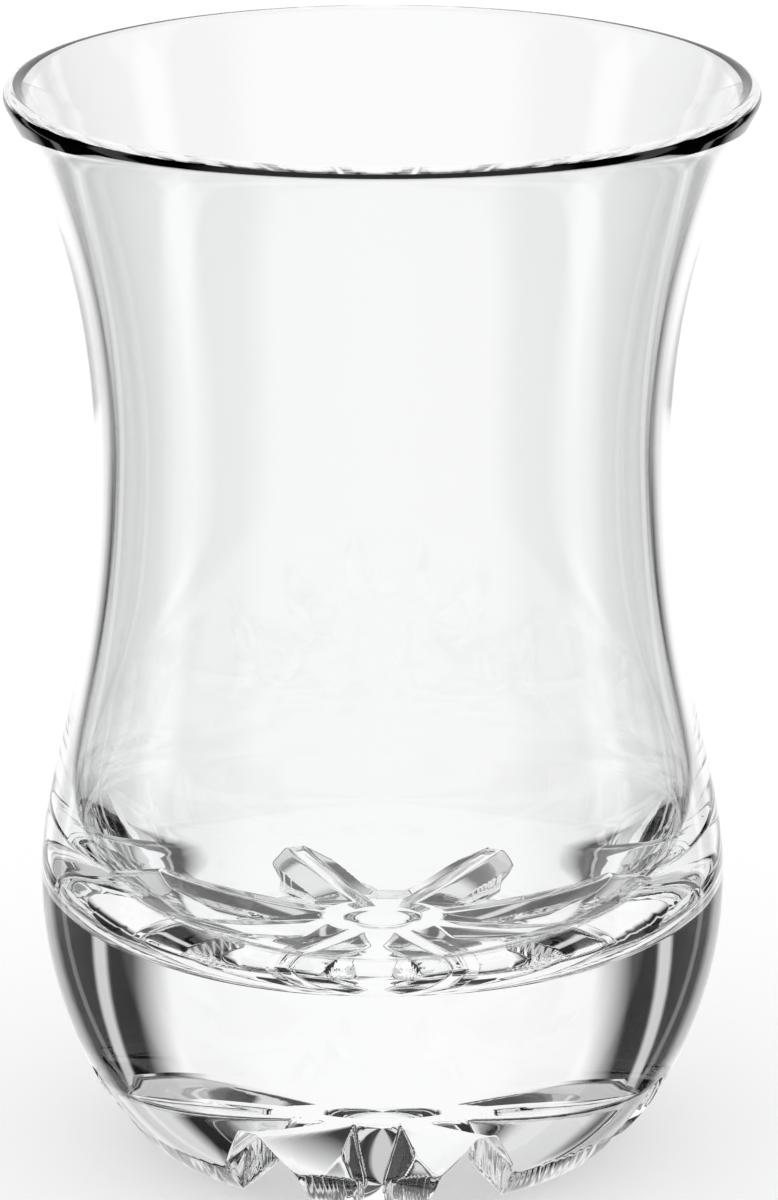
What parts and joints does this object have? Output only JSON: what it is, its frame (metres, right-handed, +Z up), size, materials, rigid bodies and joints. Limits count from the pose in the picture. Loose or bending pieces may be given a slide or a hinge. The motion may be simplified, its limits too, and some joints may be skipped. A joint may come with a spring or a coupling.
{
  "type": "turkish tea glass",
  "caption": "Clear pressed-glass tea glass with no handle: tulip-shaped with a flared lip, a narrow waist, a round belly and a thick base cut into small moulded feet.",
  "frame": {"origin": "on the table, midway under the glass", "axes": "+Z up along the glass's own axis; -Y towards the viewer; the glass looks the same every eighth of a turn"},
  "size_m": [0.06, 0.06, 0.0887],
  "materials": {
    "glass": "clear polished soda-lime glass"
  },
  "bodies": {
    "root": {"tea_glass": "glass"}
  },
  "joints": []
}
